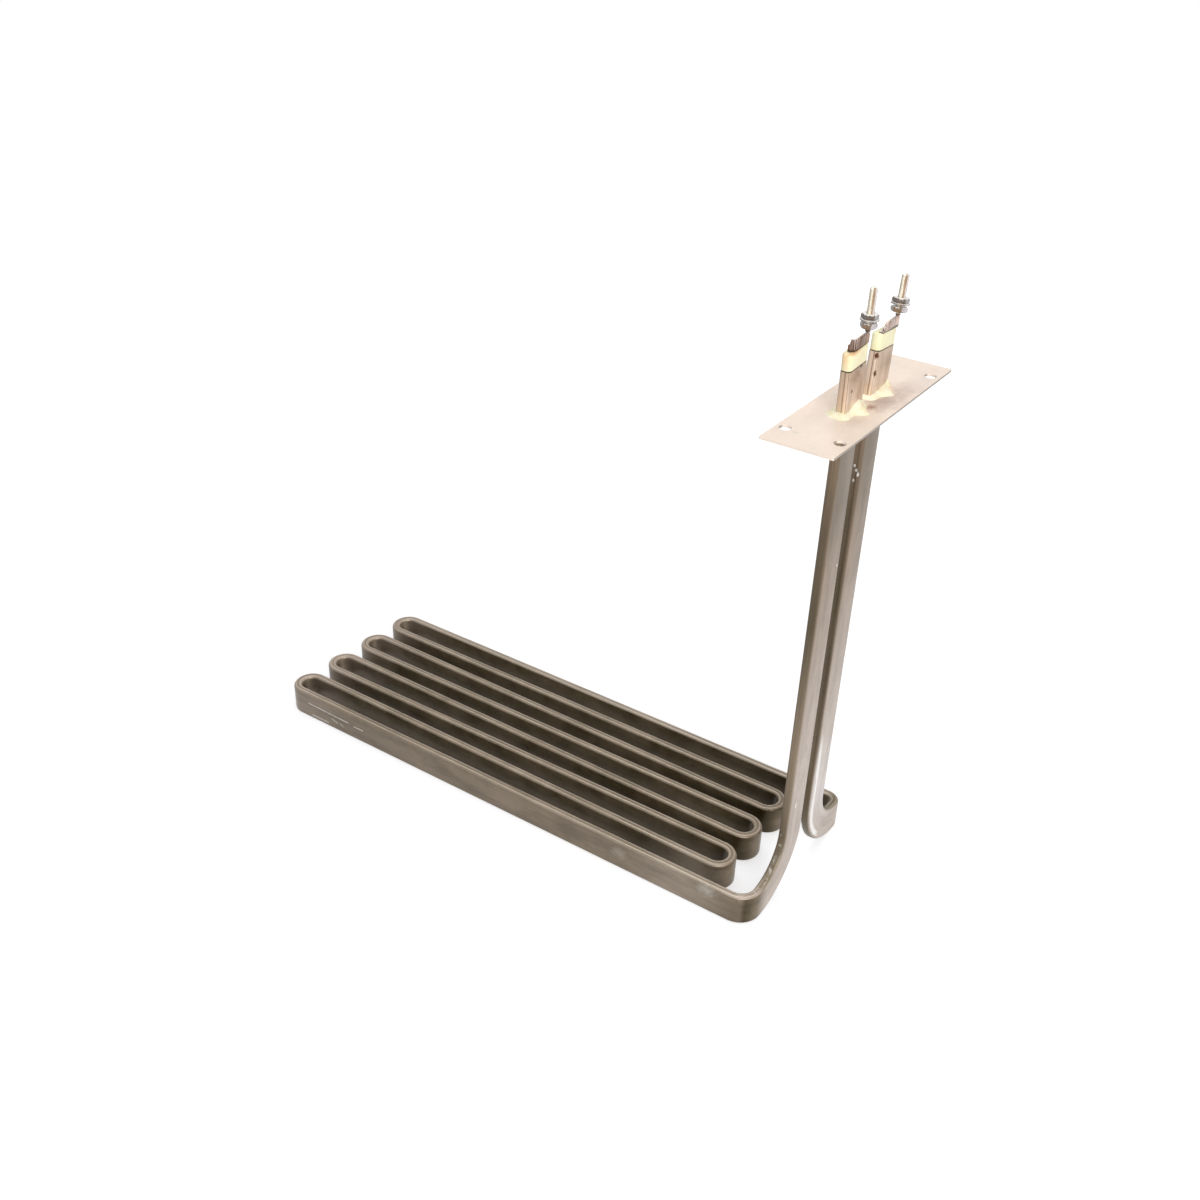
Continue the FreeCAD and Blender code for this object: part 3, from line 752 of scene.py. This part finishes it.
def tab_material():
    """Strip coloured mauve and brown by welding heat, with painted shade and painted highlight lines down
    its pleats, painted light on its top edge and painted shade at its foot.
    """
    material, tree, shader = new_material("tab_steel")
    place = place_of(tree)
    clouds = noise_node(tree, place, 170.0, 5.0, 0.65)
    along = map_place(tree)
    lines = noise_node(tree, stretched(tree, along, (900, 1.2, 1)), 1.0, 2.0, 0.5)
    front = ramp(tree, clouds, [
        (0.28, (0.20, 0.095, 0.05)), (0.50, (0.36, 0.20, 0.125)), (0.75, (0.56, 0.37, 0.265))])
    pale = ramp(tree, clouds, [
        (0.30, (0.56, 0.40, 0.33)), (0.55, (0.74, 0.56, 0.47)), (0.80, (0.86, 0.72, 0.64))])
    rear = over(tree, axis_of(tree, place, "Y"), -2, 2)
    base = mixed(tree, rear, front, pale)
    base = spotted(tree, base, place, TAB_BURN, 0.3, 0.6)
    # Painted shade in dark lines and painted highlights in pale lines down the pleats
    pleated = over(tree, axis_of(tree, along, "X"), 12.5, 15.0, 0.12, 1.0)
    dark = both(tree, pleated, slope(tree, lines, 0.47, 0.53))
    base = paint(tree, base, (0.035, 0.020, 0.014), dark, slope(tree, rear, 0.0, 1.0, 0.95, 0.65))
    base = paint(tree, base, (0.74, 0.68, 0.65), pleated, slope(tree, lines, 0.44, 0.36), 0.7)
    # Painted light on the strip's upward faces
    base = paint(tree, base, (0.90, 0.84, 0.79), slope(tree, turned_to(tree, UP), 0.6, 0.9), 0.75)
    # Painted shade at the strip's foot
    base = paint(tree, base, (0.06, 0.035, 0.025), over(tree, axis_of(tree, place, "Z"), 43.7, 43.1), 0.8)
    dress(tree, shader, base, slope(tree, clouds, 0.3, 0.7, 0.30, 0.5), 0.3, 0.3)
    bump(tree, shader, math_node(tree, "MULTIPLY", lines, pleated), 0.4, 0.4 * MM)
    return material


def stud_material():
    """Plated thread with painted reflection bands round it: a cream band, a dark brown band in the middle
    and a pale pink band, and a painted highlight on its top.
    """
    material, tree, shader = new_material("stud_steel")
    place = place_of(tree)
    streaks = noise_node(tree, stretched(tree, place, (900, 900, 60)), 1.0, 3.0, 0.6)
    # Painted reflection bands, set by facing across the view
    across = math_node(tree, "ADD", turned_to(tree, ACROSS), slope(tree, streaks, 0.3, 0.7, -0.12, 0.12))
    base = ramp(tree, slope(tree, across, -1.0, 1.0), [
        (0.0, (0.30, 0.24, 0.18)), (0.10, (0.62, 0.54, 0.42)), (0.20, (0.98, 0.94, 0.76)),
        (0.33, (0.98, 0.93, 0.80)), (0.41, (0.30, 0.19, 0.10)), (0.58, (0.18, 0.105, 0.055)),
        (0.68, (0.58, 0.46, 0.38)), (0.80, (0.97, 0.90, 0.86)), (0.90, (0.55, 0.46, 0.42)),
        (1.0, (0.16, 0.12, 0.095))])
    worn_off = noise_node(tree, place, 240.0, 4.0, 0.6)
    base = paint(tree, base, (0.55, 0.45, 0.34), slope(tree, worn_off, 0.55, 0.75, 0.0, 0.4))
    # Painted highlight on the stud's top
    base = paint(tree, base, (1.0, 0.98, 0.95), slope(tree, turned_to(tree, UP), 0.7, 0.95), 0.9)
    dress(tree, shader, base, slope(tree, worn_off, 0.3, 0.7, 0.20, 0.32), 0.35)
    bump(tree, shader, streaks, 0.1, 0.1 * MM)
    return material


def nut_material(name, sides):
    """Bright steel with painted light: white level faces and pale bevels, sides banded lighter and darker
    by facing and also stained, and painted shade underneath.
    """
    material, tree, shader = new_material(name)
    place = place_of(tree)
    stain = noise_node(tree, place, 260.0, 4.0, 0.6)
    marks = noise_node(tree, stretched(tree, place, (400, 400, 2600)), 1.0, 2.0, 0.5)
    rise = turned_to(tree, UP)
    # Painted light and shade on the side facets by their facing
    base = ramp(tree, slope(tree, turned_to(tree, ACROSS), -1.0, 1.0), sides)
    # Painted light on the bevels
    base = paint(tree, base, (0.90, 0.86, 0.80), band(tree, rise, 0.30, 0.80, 0.06))
    base = paint(tree, base, (0.24, 0.15, 0.09), slope(tree, stain, 0.55, 0.72, 0.0, 0.5))
    base = paint(tree, base, (0.12, 0.09, 0.07), slope(tree, marks, 0.55, 0.8, 0.0, 0.2))
    # Painted highlight on the level faces and painted shade underneath
    base = paint(tree, base, (1.0, 0.99, 0.97), slope(tree, rise, 0.86, 0.94, 0.0, 0.95))
    base = paint(tree, base, (0.035, 0.022, 0.014), slope(tree, rise, -0.2, -0.5))
    dress(tree, shader, base, slope(tree, stain, 0.3, 0.7, 0.20, 0.34), 0.05, 0.8)
    bump(tree, shader, marks, 0.12, 0.1 * MM)
    return material


def weld_material():
    """Neck of burnt weld metal under the lower nut."""
    material, tree, shader = new_material("weld_metal")
    clouds = noise_node(tree, place_of(tree), 420.0, 5.0, 0.7)
    base = ramp(tree, clouds, [
        (0.30, (0.04, 0.025, 0.018)), (0.52, (0.12, 0.07, 0.05)), (0.78, (0.34, 0.24, 0.19))])
    dress(tree, shader, base, slope(tree, clouds, 0.3, 0.7, 0.25, 0.45), 0.4)
    bump(tree, shader, clouds, 0.4, 0.3 * MM)
    return material


# Terminals

# Heights and insets of the insulator's outline in millimetres: a recess at its foot, eased ends
INSULATOR_PROFILE = (
    (0.0, 0.55), (0.35, 0.55), (0.55, 0.12), (0.9, 0.0), (5.5, 0.0), (10.4, 0.0), (11.0, 0.18), (11.4, 0.7))
# Heights and radii in millimetres
STUD_NECK = ((-0.8, 1.3), (0.0, 1.35), (1.2, 1.6), (1.9, 1.8))
WELD_PROFILE = ((-1.6, 0.7), (-0.9, 1.5), (-0.2, 2.0), (0.4, 2.0), (0.9, 1.75), (1.2, 1.4))
# Depth below the stud's top and inset of its chamfer in millimetres
STUD_TIP = ((0.85, 0.30), (0.2, 0.75), (0.0, 1.0))


def build_insulator(side):
    """Oblong block with eased edges that stands on the sheath's open end."""
    rings = []
    for z, inset in INSULATOR_PROFILE:
        across = BLADE_THICK - 2 * inset * MM
        tall = BLADE_TALL - 2 * inset * MM
        outline = eased_outline(across, tall, INSULATOR_R - inset * MM, 8)
        rings.append([Vector((u, v, z * MM)) for u, v in outline])
    obj = loft("insulator_block_" + SIDES[side], rings, [z * MM for z, inset in INSULATOR_PROFILE])
    return moved(keep_edges(obj, 40), leg_matrix(side))


def tab_top(side, y):
    """Height of the strip's top edge at a place along the leg's tall side."""
    tall = TAB_START_TALL[side]
    slope_end = TAB_START_Y[side] + TAB_SLOPE_RUN[side]
    if y < slope_end:
        return tall - TAB_SLOPE_RISE[side] * (slope_end - y) / TAB_SLOPE_RUN[side]
    share = min(1.0, (y - slope_end) / (STUD_Y - STUD_R - slope_end))
    return tall + (TAB_AT_STUD_TALL - tall) * share


def tab_path(side):
    """The strip's middle line, from the stud's end round the curl, with the way that its face looks."""
    curl = TAB_CURL_R[side]
    curl_from = TAB_START_Y[side] + curl
    half = TAB_SHEET / 2
    path = []
    for i in range(61):
        y = TAB_END_Y + (curl_from - TAB_END_Y) * i / 60
        path.append((Vector((TAB_FACE_X[side] - half, y, 0)), Vector((1, 0, 0))))
    for i in range(1, 29):
        a = math.pi / 2 * i / 28
        outward = Vector((math.cos(a), -math.sin(a), 0))
        path.append((Vector((TAB_FACE_X[side] - curl, curl_from, 0)) + outward * (curl - half), outward))
    return path


def build_tab(side):
    """Upright strip whose -Y end is pleated and curls round, standing on a thin foot."""
    half = TAB_SHEET / 2
    path = tab_path(side)
    pleated_from = TAB_END_Y - TAB_START_Y[side] - TAB_PLEATED_LENGTH
    rings = []
    length = 0.0
    for i, (place, outward) in enumerate(path):
        if i:
            length += (place - path[i - 1][0]).length
        past = length - pleated_from
        depth = min(1.0, max(0.0, past / TAB_PLEAT_FADE))
        wave = (0.5 - 0.5 * math.cos(past / TAB_PLEAT[side] * 2 * math.pi)) ** 3
        ridge = -TAB_PLEAT_DEPTH * wave * depth
        ragged = 0.5 + 0.5 * noise.noise(Vector((length * 900, side, 0)))
        top = tab_top(side, place.y + half * outward.y) - depth * MM * (0.5 * wave + 0.35 * ragged)
        ring = []
        for off, z in ((half, 0.0), (half, top * 0.33), (half, top * 0.66), (half, top - TAB_EASE),
                       (half - TAB_EASE, top), (TAB_EASE - half, top), (-half, top - TAB_EASE),
                       (-half, top * 0.5), (-half, 0.0)):
            bow = 0.12 * MM * noise.noise(Vector((place.y * 260, z * 200, side)))
            shift = outward * (off + (ridge if off > 0 else 0.0) + min(0.0, bow))
            ring.append(place + shift + Vector((0, 0, INSULATOR_TALL + z)))
        rings.append(ring)
    obj = loft("tab_strip_" + SIDES[side], rings)
    return moved(keep_edges(obj, 50), leg_matrix(side))


def build_tab_foot(side):
    """Thin bar on the insulator that the strip stands on."""
    start = TAB_START_Y[side] + TAB_FOOT_FROM[side]
    middle_x = TAB_FACE_X[side] - 1.55 * MM
    middle_y = (TAB_END_Y + start) / 2
    rings = []
    for z, inset in ((0.0, 0.0), (0.7 * MM, 0.0), (0.9 * MM, 0.2 * MM)):
        outline = eased_outline(TAB_FOOT_X - 2 * inset, TAB_END_Y - start - 2 * inset, 0.6 * MM, 4)
        rings.append([Vector((middle_x + u, middle_y + v, INSULATOR_TALL + z)) for u, v in outline])
    return moved(keep_edges(loft("tab_foot_" + SIDES[side], rings), 40), leg_matrix(side))


def build_stud(side):
    """Threaded rod on a thin neck: every ring's radius follows the thread as it climbs."""
    length = STUD_LENGTH[side]
    around = 28
    rings = [circle(r * MM, z * MM, around) for z, r in STUD_NECK]
    z = 2.1 * MM
    while z < length - 0.9 * MM:
        ring = []
        for j in range(around):
            turn = j / around
            phase = (z / THREAD_PITCH - turn) % 1.0
            r = STUD_R - THREAD_DEPTH * max(0.0, 1 - abs(phase - 0.5) / 0.42)
            angle = 2 * math.pi * turn
            ring.append(Vector((r * math.cos(angle), r * math.sin(angle), z)))
        rings.append(ring)
        z += THREAD_PITCH / 8
    rings += [circle(STUD_R - inset * MM, length - below * MM, around) for below, inset in STUD_TIP]
    return moved(keep_edges(loft("stud_thread_" + SIDES[side], rings), 60), stud_matrix(side))


def build_nut(name, side, at, turn):
    """Hexagon nut with both rims chamfered and a countersunk bore."""
    corner = NUT_FLATS / 2 / math.cos(math.pi / 6)
    bevel = 0.45 * MM
    rim = NUT_FLATS / 2 - 0.15 * MM
    bore = STUD_R - 0.12 * MM
    mouth = bore + 0.45 * MM
    sink = 0.4 * MM
    around = 72
    outside = ((0.0, rim), (bevel, corner), (NUT_TALL - bevel, corner), (NUT_TALL, rim))
    inside = ((NUT_TALL, mouth), (NUT_TALL - sink, bore), (sink, bore), (0.0, mouth))
    rings = []
    for z, cone in outside:
        ring = []
        for j in range(around):
            angle = 2 * math.pi * j / around
            from_flat = (angle + math.pi / 6) % (math.pi / 3) - math.pi / 6
            r = min(NUT_FLATS / 2 / math.cos(math.pi / 6 - abs(from_flat)), cone)
            ring.append(Vector((r * math.cos(angle + turn), r * math.sin(angle + turn), at + z)))
        rings.append(ring)
    rings += [circle(r, at + z, around, turn) for z, r in inside]
    obj = loft(name, rings + rings[:1], None, False)
    return moved(keep_edges(obj, 28), stud_matrix(side))


def build_washer(side):
    """Flat ring with eased outer edges."""
    bore = STUD_R + 0.4 * MM
    edge = 0.12 * MM
    profile = ((bore, 0.0), (WASHER_R - edge, 0.0), (WASHER_R, edge), (WASHER_R, WASHER_T - edge),
               (WASHER_R - edge, WASHER_T), (bore, WASHER_T), (bore, 0.0))
    rings = [circle(r, WASHER_AT + z, 64) for r, z in profile]
    obj = loft("washer_" + SIDES[side], rings, None, False)
    return moved(keep_edges(obj, 28), stud_matrix(side))


def build_weld(side):
    """Small collar of weld between the tab's edge and the stud."""
    around = 32
    rings = []
    for z, r in WELD_PROFILE:
        ring = []
        for j in range(around):
            a = 2 * math.pi * j / around
            lump = 1 + 0.08 * noise.noise(Vector((math.cos(a) * 2, math.sin(a) * 2, z + side)))
            squeeze = 0.5 if z < 0 else 0.85
            ring.append(Vector((r * squeeze * lump * math.cos(a), r * lump * math.sin(a), z)) * MM)
        rings.append(ring)
    return moved(loft("stud_weld_" + SIDES[side], rings), stud_matrix(side))


# Sealant

def swell(t, middle, width):
    return math.exp(-((t - middle) / width) ** 2)


def bead_shape(side, t, outward):
    """Spread over the plate and climb up the leg, in metres, at a place round the leg."""
    plus_x = max(0.0, outward.x)
    minus_x = max(0.0, -outward.x)
    near_end = max(0.0, -outward.y)
    far_end = max(0.0, outward.y)
    if side < 0:
        spread = 3.3 + 7.2 * plus_x * swell(t, 0.10, 0.42) + 2.6 * minus_x + 3.0 * near_end
        climb = 2.4 + 3.6 * plus_x * swell(t, 0.35, 0.55) + 0.8 * far_end
    else:
        spread = 3.4 + 6.6 * plus_x * swell(t, 0.20, 0.45) + 0.4 * far_end
        climb = 2.2 + 3.2 * plus_x * (t + 1) / 2 + 3.0 * far_end
    return spread * MM, climb * MM


def dense_outline():
    """The blade's outline with its long sides cut into short steps."""
    base = eased_outline(BLADE_THICK, BLADE_TALL, BLADE_R, 6)
    dense = []
    for i, (u, v) in enumerate(base):
        next_u, next_v = base[(i + 1) % len(base)]
        steps = max(1, round(math.hypot(next_u - u, next_v - v) / BEAD_STEP))
        for k in range(steps):
            dense.append((u + (next_u - u) * k / steps, v + (next_v - v) * k / steps))
    return dense


def way_out(u, v):
    """The way that the blade's outline faces at one of its points."""
    du = max(abs(u) - (BLADE_THICK / 2 - BLADE_R), 0) * (1 if u > 0 else -1)
    dv = max(abs(v) - (BLADE_TALL / 2 - BLADE_R), 0) * (1 if v > 0 else -1)
    outward = Vector((du, dv, 0))
    return outward.normalized() if outward.length > 1e-9 else Vector((1 if u > 0 else -1, 0, 0))


def build_bead(side):
    """Hand-laid sealant, whose spread and climb up the leg change round the outline."""
    outline = dense_outline()
    rings = []
    for k in range(BEAD_LEVELS + 1):
        f = k / BEAD_LEVELS
        ring = []
        for u, v in outline:
            outward = way_out(u, v)
            spread, climb = bead_shape(side, v / (BLADE_TALL / 2), outward)
            seed = Vector((u * 260, v * 260, side * 7.0))
            spread *= 1 + 0.22 * noise.noise(seed)
            climb *= 1 + 0.25 * noise.noise(seed * 1.7 + Vector((9, 0, 0)))
            place = Vector((u, v + side * LEG_Y, 0)) + outward * (spread * f ** 0.9 - BEAD_INSIDE * (1 - f))
            lump = noise.noise(Vector((place.x * 190, place.y * 190, side))) * math.sin(math.pi * f)
            rise = climb * (1 - f) ** 1.45 * (1 + 0.8 * f) + BEAD_LUMP * lump
            lean = math.tan(LEAN[side]) * rise * side * (1 - f)
            level = PLATE_T + max(rise, 0.0) * (1 - f ** 6) - BEAD_SINK * f
            ring.append(place + Vector((0, lean, level)))
        rings.append(ring)
    return loft("bead_" + SIDES[side], rings, None, False)


# Assemble the object

# Painted light and shade on the nuts' and washers' sides, by facing
NUT_SIDES = [
    (0.05, (0.06, 0.04, 0.025)), (0.25, (0.26, 0.16, 0.085)), (0.45, (0.04, 0.025, 0.018)),
    (0.62, (0.16, 0.13, 0.12)), (0.80, (0.62, 0.58, 0.60)), (0.95, (0.05, 0.04, 0.03))]
WASHER_SIDES = [
    (0.05, (0.10, 0.07, 0.05)), (0.30, (0.55, 0.48, 0.40)), (0.55, (0.20, 0.15, 0.12)),
    (0.80, (0.60, 0.55, 0.52)), (0.95, (0.10, 0.08, 0.07))]

sheath_steel = sheath_material()
plate_steel = plate_material()
sealant = sealant_material()
insulator = insulator_material()
tab_steel = tab_material()
stud_steel = stud_material()
nut_steel = nut_material("nut_steel", NUT_SIDES)
washer_steel = nut_material("washer_steel", WASHER_SIDES)
weld_steel = weld_material()

ride_as(keep_edges(build_sheath(), 50), sheath_steel, "sheath_steel", "sheath")
for side, end in SIDES.items():
    ride_as(build_insulator(side), insulator, "insulator", "end_insulator_" + end)
    ride_as(build_tab(side), tab_steel, "tab_steel", "terminal_tab_" + end)
    ride_as(build_tab_foot(side), tab_steel, "tab_steel", "terminal_tab_" + end)
    ride_as(build_weld(side), weld_steel, "tab_steel")
    ride_as(build_stud(side), stud_steel, "stud_steel", "terminal_stud_" + end)
    lower_nut = build_nut("nut_lower_" + end, side, LOWER_NUT_AT, NUT_TURN["lower"])
    ride_as(lower_nut, nut_steel, "nut_steel", "lower_nut_" + end)
    ride_as(build_washer(side), washer_steel, "nut_steel", "flat_washer_" + end)
    upper_nut = build_nut("nut_upper_" + end, side, UPPER_NUT_AT, NUT_TURN["upper"])
    ride_as(upper_nut, nut_steel, "nut_steel", "upper_nut_" + end)
    ride_as(build_bead(side), sealant, "sealant", "sealant_bead_" + end)

CAD_MATERIALS = {
    "mounting_plate": plate_steel, "oxide_core": insulator, "resistance_coil": stud_steel,
    "cold_pin_front": stud_steel, "cold_pin_rear": stud_steel}
for node, material in CAD_MATERIALS.items():
    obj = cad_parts[node]
    obj.data.materials.clear()
    obj.data.materials.append(material)


# Floor, light and camera

FLOOR_HALF = 4.0
FLOOR_COLOUR = (0.62, 0.62, 0.64, 1)
WHITE = (1, 1, 1, 1)
# The floor's own brightness near the object and far from it, and how far those are
NEAR_GLOW = 0.58
FAR_GLOW = 0.84
GLOW_CENTRE = (-0.2, 0.0, FLOOR_Z)
GLOW_NEAR = 0.35
GLOW_FAR = 1.1
# The world's light on the object
WORLD_LIGHT = 0.34

# The photograph's camera, found by fitting the object's straight edges and holes
PHOTO_PIXELS = 1200
FOCAL_PIXELS = 1322.54
MIDDLE_PIXELS_DOWN = 0.5
CAMERA_PLACE = (0.29646, -0.73463, 0.32023)
CAMERA_RIGHT = Vector((0.82196, 0.56863, 0.03239))
CAMERA_DOWN = Vector((0.3187, -0.41206, -0.8536))
CAMERA_AHEAD = Vector((-0.47204, 0.71195, -0.51991))
SENSOR_MM = 36.0


def seen_directly(tree):
    """One for camera, glossy and transmission rays, and nothing for the rays that light the object."""
    path = add(tree, "ShaderNodeLightPath")
    seen = math_node(tree, "MAXIMUM", path.outputs["Is Camera Ray"], path.outputs["Is Glossy Ray"])
    return math_node(tree, "MAXIMUM", seen, path.outputs["Is Transmission Ray"])


def build_floor():
    """Plain floor that keeps the object's shadow and looks white where nothing shades it."""
    corners = [(x * FLOOR_HALF, y * FLOOR_HALF, FLOOR_Z) for x, y in ((-1, -1), (1, -1), (1, 1), (-1, 1))]
    floor = mesh_object("floor", corners, [(0, 1, 2, 3)], None, False)
    material = bpy.data.materials.new("floor_white")
    material.use_nodes = True
    tree = material.node_tree
    tree.nodes.clear()
    cloth = add(tree, "ShaderNodeBsdfDiffuse", Color=FLOOR_COLOUR)
    reach = add(tree, "ShaderNodeVectorMath", operation="DISTANCE")
    tree.links.new(place_of(tree), reach.inputs[0])
    reach.inputs[1].default_value = GLOW_CENTRE
    strength = slope(tree, reach.outputs["Value"], GLOW_NEAR, GLOW_FAR, NEAR_GLOW, FAR_GLOW)
    glow = add(tree, "ShaderNodeEmission", Color=WHITE, Strength=both(tree, seen_directly(tree), strength))
    surface = add(tree, "ShaderNodeAddShader")
    out = add(tree, "ShaderNodeOutputMaterial")
    tree.links.new(cloth.outputs[0], surface.inputs[0])
    tree.links.new(glow.outputs[0], surface.inputs[1])
    tree.links.new(surface.outputs[0], out.inputs["Surface"])
    floor.data.materials.append(material)


def build_world():
    """White to the camera, and a plain soft level on the object."""
    world = bpy.data.worlds.new("studio")
    bpy.context.scene.world = world
    world.use_nodes = True
    tree = world.node_tree
    background = tree.nodes["Background"]
    background.inputs["Color"].default_value = WHITE
    strength = slope(tree, seen_directly(tree), 0.0, 1.0, WORLD_LIGHT, 1.0)
    tree.links.new(strength, background.inputs["Strength"])


def area_light(name, place, target, size, watts, colour):
    """Square soft lamp that looks at a point."""
    data = bpy.data.lights.new(name, "AREA")
    data.shape = "RECTANGLE"
    data.size = size
    data.size_y = size
    data.energy = watts
    data.color = colour
    lamp = bpy.data.objects.new(name, data)
    lamp.location = place
    lamp.rotation_mode = "QUATERNION"
    lamp.rotation_quaternion = (Vector(target) - Vector(place)).to_track_quat("-Z", "Y")
    bpy.context.scene.collection.objects.link(lamp)


def build_camera():
    data = bpy.data.cameras.new("photo_camera")
    data.sensor_width = SENSOR_MM
    data.lens = FOCAL_PIXELS / PHOTO_PIXELS * SENSOR_MM
    data.shift_y = MIDDLE_PIXELS_DOWN / PHOTO_PIXELS
    camera = bpy.data.objects.new("photo_camera", data)
    turn = Matrix((CAMERA_RIGHT, -CAMERA_DOWN, -CAMERA_AHEAD)).transposed().to_4x4()
    camera.matrix_world = Matrix.Translation(CAMERA_PLACE) @ turn
    bpy.context.scene.collection.objects.link(camera)
    bpy.context.scene.camera = camera


build_floor()
build_world()
area_light("key_right", (1.48, -1.50, 0.85), (-0.1, 0, -0.15), 1.5, 38.5, (1.0, 0.99, 0.97))
area_light("top_soft", (-0.4, 0.3, 2.2), (-0.2, 0, -0.2), 2.2, 24.0, (1.0, 1.0, 1.0))
build_camera()
bpy.context.scene.view_settings.view_transform = "Standard"
